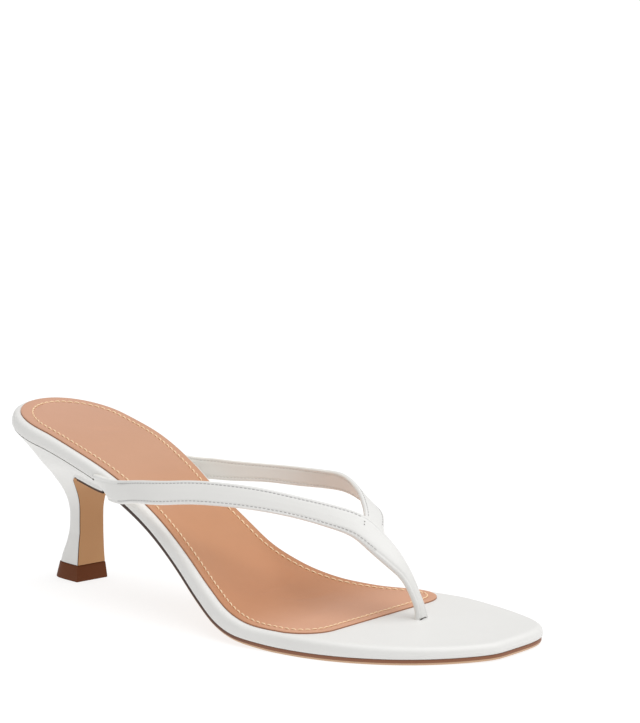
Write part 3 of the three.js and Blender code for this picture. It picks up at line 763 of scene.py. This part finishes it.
# From the underside to the top: further inwards, share of the thickness, rise, material up to the next
OUTSOLE_PROFILE = (
    (OUTSOLE_BEVEL + 1.0, 0.0, 0.0, 0),
    (OUTSOLE_BEVEL, 0.0, 0.0, 2),
    (0.12, 0.32, 0.0, 2),
    (0.0, 0.45, 0.0, 1),
    (0.0, 0.8, 0.0, 1),
    (0.1, 1.0, OUTSOLE_RISE, 1),
    (1.0, 1.0, OUTSOLE_RISE, 1),
)


def make_outsole():
    """Thin leather sole with an inked edge, pale along its lower bevel."""
    outer, inner = two_sides(SOLE_LOOP)
    outer = resampled(outer[outer[:, 0] > OUTSOLE_BACK_OUTER], OUTSOLE_POINTS)
    inner = resampled(inner[inner[:, 0] > OUTSOLE_BACK_INNER], OUTSOLE_POINTS)
    back = inner[0] + (outer[0] - inner[0]) * np.linspace(0, 1, OUTSOLE_ACROSS + 1)[1:-1, None]
    loop = np.concatenate([outer, inner[-2::-1], back])
    rings = [
        (OUTSOLE_INSET + inwards, lambda a, share=share, rise=rise: share * outsole_thickness(a) + rise)
        for inwards, share, rise, _ in OUTSOLE_PROFILE
    ]
    builder = Builder()
    flats = add_rings(builder, loop, rings, lambda i: OUTSOLE_PROFILE[i][3])
    caps = []
    for flat in (flats[0], flats[-1]):
        outer = flat[:OUTSOLE_POINTS]
        inner = flat[OUTSOLE_POINTS - 1: 2 * OUTSOLE_POINTS - 1][::-1]
        grid = between(outer, inner, OUTSOLE_ACROSS)
        grid[0] = np.concatenate([outer[:1], flat[1 - OUTSOLE_ACROSS:][::-1], inner[:1]])
        caps.append(grid)
    add_caps(builder, rings, caps)
    return builder.make("outsole_leather", [sole_leather, brown_edge, pale_edge], 35)


# Heel

heel_line = {column: line_through(HEEL_SECTIONS, column, "up")
             for column in ("front", "back", "waist", "breast", "side")}
SEAT_UP = 0.765
CORNER_STEPS = 8
ROUND_STEPS = 46

# The breast's cover: offset and margin of its back and its face, then the edges over its upper levels
BREAST_BACK = (0.10, 0.03)
BREAST_FACE = (BREAST_THICKNESS * 0.4, 0.08)
FOLD_FROM = -24
FOLD_HEIGHT = 1.1
PIPING_HEIGHT = 0.9
EDGE_DEPTH = 0.8
EDGE_GROWS_OVER = 6


def turned(forward, side, z):
    forward, side, z = np.broadcast_arrays(forward, side, z)
    return np.stack([
        forward * math.cos(HEEL_TURN) + side * math.sin(HEEL_TURN),
        -forward * math.sin(HEEL_TURN) + side * math.cos(HEEL_TURN),
        z,
    ], axis=-1)


def heel_section(up, grow=0.0):
    """A level of the heel, from the outer front corner round the back to the inner front corner."""
    size = {name: float(line(up)) * SEAT_WIDTH for name, line in heel_line.items()}
    widest = -size["back"] + (size["front"] + size["back"]) * WIDEST_SHARE
    seated = float(smooth((up - COLUMN_ENDS) / (SEAT_STARTS - COLUMN_ENDS)))
    power = 2 / (COLUMN_SQUARENESS + (SEAT_SQUARENESS - COLUMN_SQUARENESS) * seated)
    angle = np.linspace(0, math.pi / 2, ROUND_STEPS)
    forward = widest - (size["back"] + widest + grow) * np.cos(angle) ** power
    half = (size["waist"] + grow) * np.sin(angle) ** power
    share = np.linspace(0, 1, CORNER_STEPS + 1)[1:]
    forward = np.concatenate([forward, widest + (size["front"] + grow - widest) * share])
    half = np.concatenate([half, (size["waist"] + (size["breast"] - size["waist"]) * share**1.6) + grow])
    # Even steps along the squarer curve
    even = resampled(np.stack([forward, half], axis=1), ROUND_STEPS)
    outer = turned(even[::-1, 0], size["side"] - even[::-1, 1], up * HEEL_RISE)
    inner = turned(even[1:, 0], size["side"] + even[1:, 1], up * HEEL_RISE)
    return np.concatenate([outer, inner])


def heel_rim(count):
    """The heel's upper rim, under the footbed's edge, from the outer breast corner to the inner one."""
    outer, inner = two_sides(inset(SOLE_LOOP, HEEL_INSET))
    half_count = count // 2 + 1
    outer = resampled(outer[outer[:, 0] < OUTSOLE_BACK_OUTER], half_count)[::-1]
    inner = resampled(inner[inner[:, 0] < OUTSOLE_BACK_INNER], half_count)
    flat = np.concatenate([outer, inner[1:]])
    return sole_point(flat[:, 0], flat[:, 1], bed_under(flat[:, 0] / SOLE_LENGTH) - CLEARANCE)


FOOT_UP = (TOP_PIECE_HEIGHT + 0.12) / HEEL_RISE
HEEL_LEVELS = 44
FLARE_LEVELS = 20
CORNER_FROM = 0.62
FLARE_OUT = (0.72, 0.2)     # run outwards at the rim, and what the corners add
FLARE_UP = (0.1, 0.69)      # climb at the rim, and what all but the corners add
FLARE_PULL = (1.0, 0.72)    # how long the column's own run lasts, and what the corners take off


def heel_meridians():
    """The heel's skin as rows from the lift to the rim under the footbed."""
    rows = [heel_section(up) for up in np.linspace(FOOT_UP, SEAT_UP, HEEL_LEVELS)]
    rim = heel_rim(len(rows[0]) - 1)
    start, before = rows[-1], rows[-3]
    lower = unit_rows(start - before)
    reach = rim - start
    distance = np.linalg.norm(reach, axis=1)[:, None]
    flat = unit_rows(reach * [1, 1, 0])
    # The flare is soft at the back, and turns sharply under the sole at the two front corners
    corner = smooth((np.abs(np.linspace(-1, 1, len(start))) - CORNER_FROM) / (1 - CORNER_FROM))[:, None]
    soft = np.array([0, 0, FLARE_UP[1]]) * (1 - corner)
    leave = flat * (FLARE_OUT[0] + FLARE_OUT[1] * corner) + soft + np.array([0, 0, FLARE_UP[0]])
    pull = distance * (FLARE_PULL[0] - FLARE_PULL[1] * corner)
    for t in np.linspace(0, 1, FLARE_LEVELS + 1)[1:]:
        rows.append(
            (2 * t**3 - 3 * t**2 + 1) * start + (t**3 - 2 * t**2 + t) * pull * lower
            + (3 * t**2 - 2 * t**3) * rim + (t**3 - t**2) * distance * leave
        )
    return np.array(rows)


HEEL_ROWS = heel_meridians()
BREAST_ACROSS = 14


def breast_rows(offset, margin):
    """The heel's front face, straight between its two front corners, moved forward by an offset."""
    left, right = HEEL_ROWS[:, 0], HEEL_ROWS[:, -1]
    unit = unit_rows(right - left)
    climb = np.gradient((left + right) / 2, axis=0)
    ahead = unit_rows(np.cross(climb, unit))
    sign = np.sign((ahead * turned(1.0, 0.0, 0.0)).sum(axis=1) + ahead[:, 2] * -0.2)[:, None]
    shift = ahead * sign * offset
    return between(left + unit * margin + shift, right - unit * margin + shift, BREAST_ACROSS)


def make_heel():
    """White leather drawn over a waisted heel."""
    builder = Builder()
    builder.grid(HEEL_ROWS)
    builder.grid(breast_rows(0.0, 0.0), flip=True)
    for row, flip in ((0, False), (-1, True)):
        ring = HEEL_ROWS[row]
        half = len(ring) // 2
        builder.grid(between(ring[: half + 1], ring[: half - 1: -1], BREAST_ACROSS), flip=flip)
    return builder.make("heel_cover", [white_leather], 40)


def make_breast():
    """Tan leather on the heel's front face, with a thick inked upper edge."""
    near = breast_rows(*BREAST_BACK)[:-1]
    far = breast_rows(*BREAST_FACE)[:-1]
    builder = Builder()
    builder.grid(far, 0, flip=True)
    builder.grid(near, 1)
    for rows, pick in ((slice(None, FOLD_FROM + 1), 1), (slice(FOLD_FROM, None), 2)):
        builder.grid(np.stack([near[rows, 0], far[rows, 0]], axis=1), pick)
        builder.grid(np.stack([far[rows, -1], near[rows, -1]], axis=1), pick)
    builder.grid(np.stack([far[0], near[0]], axis=0), 1)
    builder.grid(np.stack([near[-1], far[-1]], axis=0), 1)
    for side in (0, -1):
        rim = far[FOLD_FROM:, side]
        inwards = unit_rows(far[FOLD_FROM:, 1 if side == 0 else -2] - rim)
        for start, depth, out, pick in ((0.0, FOLD_HEIGHT, 0.10, 2), (FOLD_HEIGHT, PIPING_HEIGHT, 0.25, 1)):
            grow = smooth(np.arange(len(rim)) / EDGE_GROWS_OVER)[:, None] * 0.999 + 0.001
            top = rim + inwards * (out - 0.15) + np.array([0, 0, 0.5]) - np.array([0, 0, start]) * grow
            low = top - np.array([0, 0, depth + 0.5]) * grow
            back = inwards * EDGE_DEPTH
            builder.grid(np.stack([top, low, low + back, top + back, top]), pick)
    return builder.make("heel_breast_cover", [breast_leather, dark_ink, white_leather], 30)


def make_top_piece():
    """Dark lift with eased edges, a little wider at the floor."""
    builder = Builder()
    profile = ((0.0, -0.5), (0.0, -0.18), (0.18, -0.03), (0.5, 0.0), (3.0, 0.0), (5.6, 0.0), (6.1, -0.04),
               (6.28, -0.2), (6.28, -0.6))
    levels = []
    for z, pull in profile:
        up = z / HEEL_RISE
        spread = TOP_PIECE_SPREAD * (1 - z / TOP_PIECE_HEIGHT)
        spread += 0.5 * TOP_PIECE_SPREAD * z / TOP_PIECE_HEIGHT
        half = heel_section(up, spread + pull)
        face = half[-1] + (half[0] - half[-1]) * np.linspace(0, 1, 13)[1:-1, None]
        levels.append(np.concatenate([half, face]))
    count = len(levels[0])
    add_levels(builder, levels)
    for ring, flip in ((levels[0], True), (levels[-1], False)):
        centre = ring.mean(axis=0)
        points = np.concatenate([ring, [centre]])
        faces = [(i, (i + 1) % count, count) for i in range(count)]
        builder.add(points, faces, 0, flip)
    return builder.make("top_lift", [lift], 35)


# Straps

def catmull(points, samples):
    """Centripetal Catmull-Rom curve through points; returns places and the row share of each."""
    points = np.asarray(points, float)
    ext = np.concatenate([[2 * points[0] - points[1]], points, [2 * points[-1] - points[-2]]])
    at = np.linspace(0, len(points) - 1, samples)
    low = np.minimum(at.astype(int), len(points) - 2)
    w = (at - low)[:, None]
    p0, p1, p2, p3 = (ext[low + k] for k in range(4))
    d = lambda a, b: np.maximum(np.sum((b - a) ** 2, axis=1), 1e-8)[:, None] ** 0.25
    d0, d1, d2 = d(p0, p1), d(p1, p2), d(p2, p3)
    t1 = ((p1 - p0) / d0 - (p2 - p0) / (d0 + d1) + (p2 - p1) / d1) * d1
    t2 = ((p2 - p1) / d1 - (p3 - p1) / (d1 + d2) + (p3 - p2) / d2) * d1
    c2 = -3 * p1 + 3 * p2 - 2 * t1 - t2
    c3 = 2 * p1 - 2 * p2 + t1 + t2
    return p1 + t1 * w + c2 * w**2 + c3 * w**3, at


def eased(values, width):
    """Values smoothed along their first axis, with the ends kept."""
    values = np.asarray(values, float)
    flat = values.reshape(len(values), -1)
    count = int(width * 3) + 1
    weights = bell(count, width)
    padded = np.concatenate([
        2 * flat[:1] - flat[count:0:-1], flat, 2 * flat[-1:] - flat[-2:-count - 2:-1],
    ])
    out = np.stack([np.convolve(padded[:, i], weights, mode="valid") for i in range(flat.shape[1])], axis=1)
    return out.reshape(values.shape)


STRAP_SAMPLES = 420
LINE_EASE = 7
ABOVE_EASE = 6
BELOW_EASE = 10


def strap_frame(rows, edges):
    """Middle line of a strap, with its width and thickness directions and half width at each place."""
    x = rows["along"] * SOLE_LENGTH
    points = np.stack([
        x - HEEL_SET,
        rows["side"] * BALL_WIDTH - HEEL_SIDE,
        top_height(x) + rows["height"] * STRAP_ARCH,
    ], axis=1)
    places, at = catmull(points, STRAP_SAMPLES)
    places = eased(places, LINE_EASE)
    index = np.arange(len(x))
    value = {}
    for column in ("lean", "sweep", "width"):
        rows_at = {"at": index.astype(float), column: rows[column]}
        value[column] = eased(line_through(rows_at, column, "at")(at), LINE_EASE)
    along = unit_rows(np.gradient(places, axis=0))
    lean, sweep = np.radians(value["lean"]), np.radians(value["sweep"])
    across = np.stack([-np.sin(sweep), np.sin(lean) * np.cos(sweep), np.cos(lean) * np.cos(sweep)], axis=1)
    across = unit_rows(across - along * (across * along).sum(axis=1)[:, None])
    through = np.cross(along, across)
    half = value["width"] * STRAP_WIDTH / 2
    above = eased(line_through(edges, "above", "row")(at), ABOVE_EASE)
    below = eased(line_through(edges, "below", "row")(at), BELOW_EASE)
    return places, across, through, half, above, below


# A strap's section: rounded edge, stitch rows, furrow under them, pillow between them, lower edge's curl
SECTION_POINTS = 37
STRAP_EDGE = 0.75
ROW_INSET = 1.15
FURROW = 0.17
FURROW_WIDTH = 0.34
PILLOW = 0.2
CURL = 0.6


def strap_section(half, above, below, rolled):
    """A strap's section: soft folded edges, a furrow under each stitch row, a lower edge that curls in."""
    t = np.linspace(-1, 1, SECTION_POINTS)
    reach = half + (above + below) / 2
    v = (above - below) / 2 + reach * (np.sin(t * math.pi / 2) + t) / 2
    depth = np.maximum(0, reach - np.abs(v - (above - below) / 2))
    edge = np.clip(1 - depth / STRAP_EDGE, 0, 1)
    body = STRAP_THICKNESS / 2 - STRAP_EDGE + STRAP_EDGE * np.sqrt(np.maximum(0, 1 - edge**2))
    furrow = FURROW * np.exp(-((depth - ROW_INSET) / FURROW_WIDTH) ** 2)
    pillow = PILLOW * (depth / reach) ** 0.7 if rolled else 0.0
    curl = CURL * max(below, 0) * np.clip((-v - 0.5 * half) / (0.5 * half + max(below, 0.1)), 0, 1) ** 2
    return v, body - furrow + pillow, curl


def strap_levels(rows, edges, outward):
    places, across, through, half, above, below = strap_frame(rows, edges)
    levels = []
    for i in range(len(places)):
        v, top, curl = strap_section(half[i], above[i], below[i], True)
        under = strap_section(half[i], above[i], below[i], False)[1]
        row = i / (len(places) - 1) * (len(rows["along"]) - 1)
        for middle, side, width, depth in STRAP_CREASES:
            reach = np.exp(-((v / half[i] - side) / 0.8) ** 2)
            top = top - depth * np.exp(-((row - middle - 0.15 * v / half[i]) / width) ** 2) * reach
        outer = places[i] + v[:, None] * across[i] + outward * (top - curl)[:, None] * through[i]
        inner = places[i] + v[:, None] * across[i] - outward * (under + curl)[:, None] * through[i]
        levels.append(np.concatenate([outer, inner[::-1]]))
    return np.array(levels)


def make_strap(name, rows, edges, outward):
    levels = strap_levels(rows, edges, outward)
    count = levels.shape[1]
    builder = Builder()
    half = count // 2
    wrapped = np.concatenate([levels, levels[:, :1]], axis=1)
    builder.grid(wrapped[:, : half + 1], 0)
    builder.grid(wrapped[:, half:], 1)
    for ring, flip in ((levels[0], False), (levels[-1], True)):
        pairs = np.stack([ring[:half], ring[half:][::-1]], axis=1)
        builder.grid(pairs, 0, flip)
    return builder.make(name, [white_leather, lining], 40)


# Thread

# Pitch, share of it that shows, radius, and how far the thread lies in the leather
INSOLE_STITCH = (2.6, 0.86, 0.27, 0.16)
STRAP_STITCH = (1.55, 0.74, 0.12, 0.10)
INSOLE_SLANT = 0.14


def stitch_mesh(builder, start, end, normal, radius, sink, pick=0):
    """One stitch: a short thread that dips into the leather at both ends."""
    ring = 6
    run = end - start
    length = np.linalg.norm(run)
    run = run / length
    side = np.cross(run, normal)
    side /= np.linalg.norm(side)
    shares = np.array([0.0, 0.12, 0.3, 0.5, 0.7, 0.88, 1.0])
    lifts = np.array([-1.0, 0.15, 0.75, 0.9, 0.75, 0.15, -1.0])
    sizes = np.array([0.55, 0.85, 1.0, 1.0, 1.0, 0.85, 0.55])
    angle = np.linspace(0, 2 * math.pi, ring, endpoint=False)
    circle = np.cos(angle)[:, None] * side + np.sin(angle)[:, None] * normal
    levels = [
        start + run * length * share + normal * (lift_by * sink) + circle * radius * size
        for share, lift_by, size in zip(shares, lifts, sizes)
    ]
    points = np.concatenate(levels + [[levels[0].mean(axis=0)], [levels[-1].mean(axis=0)]])
    faces = loft_faces(ring, len(levels))
    total = ring * len(levels)
    for i in range(ring):
        n = (i + 1) % ring
        faces.append((n, i, total))
        faces.append((total - ring + i, total - ring + n, total + 1))
    builder.add(points, faces, pick)


def stitch_row(builder, points, normals, pitch, share, radius, sink, pick=0, slant=0.0):
    """Stitches along a line on a surface."""
    run = np.concatenate([[0], np.cumsum(np.linalg.norm(np.diff(points, axis=0), axis=1))])
    count = int(run[-1] / pitch)
    pitch = run[-1] / count
    at = lambda value, array: np.array([np.interp(value, run, array[:, i]) for i in range(3)])
    for i in range(count):
        first = i * pitch + pitch * (1 - share) / 2
        start, end = at(first, points), at(first + pitch * share, points)
        normal = at(first + pitch * share / 2, normals)
        normal /= np.linalg.norm(normal)
        turn_by = np.cross(end - start, normal)
        turn_by *= slant / np.linalg.norm(turn_by)
        stitch_mesh(builder, start - turn_by, end + turn_by, normal, radius, sink, pick)


def make_insole_stitches():
    loop = insole_outline(260, 60)
    flat = inset(loop, STITCH_INSET + stitch_shift(loop))
    flat = np.concatenate([flat, flat[:1]])
    height = bed_top(flat[:, 0] / SOLE_LENGTH) + INSOLE_LIFT - 0.02
    points = sole_point(flat[:, 0], flat[:, 1], height)
    above = sole_point(flat[:, 0], flat[:, 1], height + 1)
    builder = Builder()
    stitch_row(builder, points, above - points, *INSOLE_STITCH, slant=INSOLE_SLANT)
    return builder.make("insole_stitching", [cream_thread], 60)


def make_strap_stitches(name, rows, edges, outward, spans):
    """Two rows of thread a strap, on both faces. A span is the share of the length that a row covers."""
    places, across, through, half, above, below = strap_frame(rows, edges)
    builder = Builder()
    for side, span in zip((-1, 1), spans):
        first, last = (int(share * (len(places) - 1)) for share in span)
        pick = slice(first, last + 1)
        edge = half + (above if side > 0 else below) - ROW_INSET
        row = places[pick] + across[pick] * (side * edge[pick])[:, None]
        for face, thread, lift_by in ((outward, 0, 0.10), (-outward, 1, 0.0)):
            points = row + through[pick] * face * (STRAP_THICKNESS / 2 - FURROW + lift_by)
            stitch_row(builder, points, face * through[pick], *STRAP_STITCH, thread)
    return builder.make(name, [white_thread_painted_grey_shade, lining_thread], 60)


TACK_STITCHES = ((11.12, 2.0), (11.16, 0.9))    # row of the outer strap, distance over its middle
# Where the bead of painted shade sits on the outer strap, and how low over the footbed the post's base is
# sought for the painted shade in its slit
SHADE_SPOT_ROW = 0.9
POST_BASE_HEIGHT = 0.35


def make_bar_tack_and_painted_shade():
    """Two short stitches where the straps meet, and dark beads of painted shade in the gap at the strap's
    start and in the slit at the post's base.
    """
    places, across, through, half, above, below = strap_frame(OUTER_STRAP, OUTER_EDGES)
    along = unit_rows(np.gradient(places, axis=0))
    surface = STRAP_THICKNESS / 2
    place_of = lambda row: int(row / (len(OUTER_STRAP["along"]) - 1) * (len(places) - 1))
    builder = Builder()
    for row, v in TACK_STITCHES:
        i = place_of(row)
        middle = places[i] + across[i] * v + through[i] * (surface + 0.14)
        stitch_mesh(builder, middle - along[i] * 0.3, middle + along[i] * 0.3, through[i], 0.13, 0.14)
    # A dark bead as painted shade in the small gap at the outer strap's start
    i = place_of(SHADE_SPOT_ROW)
    corner = places[i] + across[i] * (half[i] + above[i] - 1.1) + through[i] * 0.75
    stitch_mesh(builder, corner - across[i] * 0.5, corner + across[i] * 0.3, through[i], 0.45, 0.1)
    # A dark bar as painted shade in the slit at the post's base
    over = places[:, 2] - top_height(places[:, 0] + HEEL_SET)
    i = int(np.argmax((over < POST_BASE_HEIGHT) & (np.arange(len(over)) > len(over) // 2)))
    low = places[i] - across[i] * (half[i] + below[i] - 0.4) + through[i] * (surface + 0.1)
    high = places[i] + across[i] * (half[i] + above[i]) * 0.45 + through[i] * (surface + 0.1)
    stitch_mesh(builder, low, high, np.array([0.0, 0.0, 1.0]), 0.24, 0.15)
    return builder.make("strap_bar_tack_and_painted_shade", [tack_thread_and_painted_shade], 60)


# The object

OUTER_SPANS = ((0.17, 0.72), (0.17, 0.645))    # stitched share of the length, lower and upper row
INNER_SPANS = ((0.17, 0.84), (0.17, 0.84))

# Each piece, the node that it replaces, and its slot
pieces = (
    (make_footbed(), "footbed", "white_leather"),
    (make_insole(), "insole", "tan_leather"),
    (make_outsole(), "outsole", "sole_leather"),
    (make_heel(), "heel", "white_leather"),
    (make_breast(), "heel_breast", "breast_leather"),
    (make_top_piece(), "top_piece", "heel_lift"),
    (make_strap("outer_strap", OUTER_STRAP, OUTER_EDGES, 1), "upper_straps", "white_leather"),
    (make_strap("inner_strap", INNER_STRAP, INNER_EDGES, -1), "upper_straps", "white_leather"),
    (make_insole_stitches(), None, "tan_leather"),
    (make_strap_stitches("outer_strap_stitching", OUTER_STRAP, OUTER_EDGES, 1, OUTER_SPANS),
     None, "white_leather"),
    (make_strap_stitches("inner_strap_stitching", INNER_STRAP, INNER_EDGES, -1, INNER_SPANS),
     None, "white_leather"),
    (make_bar_tack_and_painted_shade(), None, "white_leather"),
)
for piece, replaced, slot_name in pieces:
    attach(piece, "root")
    if replaced:
        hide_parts(replaced)


# Floor, light and camera

FLOOR_REACH = 6.0
FLOOR_GREY = 0.25
FLOOR_GLOW = 0.80
WORLD_STRENGTH = 0.50
SKY_STRENGTH = 1.9
SKY_SPREAD = math.radians(70)
SKY_TILT = (math.radians(-4), math.radians(15), 0)
SOFTBOX_TURN = math.radians(105)
SOFTBOX_RISE = math.radians(40)
SOFTBOX_DISTANCE = 1.6
SOFTBOX_SIZE = 0.9
SOFTBOX_POWER = 1.2
SHOE_MIDDLE = Vector((0.08, 0.0, 0.03))

floor_mesh = bpy.data.meshes.new("floor")
corners = [(-1, -1), (1, -1), (1, 1), (-1, 1)]
floor_mesh.from_pydata([(x * FLOOR_REACH, y * FLOOR_REACH, 0) for x, y in corners], [], [(0, 1, 2, 3)])
floor_paper, floor_nodes, _ = material("floor_paper")
paper = floor_nodes["Principled BSDF"].inputs
paper["Base Color"].default_value = (FLOOR_GREY, FLOOR_GREY, FLOOR_GREY, 1)
paper["Roughness"].default_value = 0.95
paper["Emission Color"].default_value = (1, 1, 1, 1)
paper["Emission Strength"].default_value = FLOOR_GLOW
floor_mesh.materials.append(floor_paper)
floor = bpy.data.objects.new("floor", floor_mesh)
bpy.context.scene.collection.objects.link(floor)

world = bpy.data.worlds.new("studio")
bpy.context.scene.world = world
world.use_nodes = True
world.node_tree.nodes["Background"].inputs["Color"].default_value = (1.0, 1.0, 1.0, 1)
world.node_tree.nodes["Background"].inputs["Strength"].default_value = WORLD_STRENGTH


def look_from(made, target, turn, rise, distance, unit=1.0):
    """Places a light or camera at a distance, looking back at its target."""
    way = Vector((math.sin(turn) * math.cos(rise), -math.cos(turn) * math.cos(rise), math.sin(rise)))
    made.location = target + way * distance * unit
    made.rotation_euler = way.to_track_quat("Z", "Y").to_euler()
    bpy.context.scene.collection.objects.link(made)


softbox = bpy.data.lights.new("side_softbox", "AREA")
softbox.shape = "SQUARE"
softbox.size = SOFTBOX_SIZE
softbox.energy = SOFTBOX_POWER
softbox_object = bpy.data.objects.new("side_softbox", softbox)
look_from(softbox_object, SHOE_MIDDLE, SOFTBOX_TURN, SOFTBOX_RISE, SOFTBOX_DISTANCE)

sky = bpy.data.lights.new("overhead_light", "SUN")
sky.energy = SKY_STRENGTH
sky.angle = SKY_SPREAD
sky_object = bpy.data.objects.new("overhead_light", sky)
sky_object.rotation_euler = SKY_TILT
bpy.context.scene.collection.objects.link(sky_object)

# The camera, fitted to the photograph: millimetres in the shoe's frame
CAMERA_TURN = math.radians(38.67)
CAMERA_RISE = math.radians(11.46)
CAMERA_DISTANCE = 2059.0
CAMERA_TARGET = Vector((114.0, 5.3, 97.6)) * MM
FOCAL_SHARE = 5586.0 / 640.0    # focal length over the frame's width
SENSOR = 36.0
camera_data = bpy.data.cameras.new("camera")
camera_data.sensor_fit = "HORIZONTAL"
camera_data.sensor_width = SENSOR
camera_data.lens = SENSOR * FOCAL_SHARE
camera_data.clip_end = 20.0
camera = bpy.data.objects.new("camera", camera_data)
look_from(camera, CAMERA_TARGET, CAMERA_TURN, CAMERA_RISE, CAMERA_DISTANCE, MM)
bpy.context.scene.camera = camera
bpy.context.scene.view_settings.view_transform = "Standard"
bpy.context.scene.view_settings.look = "None"
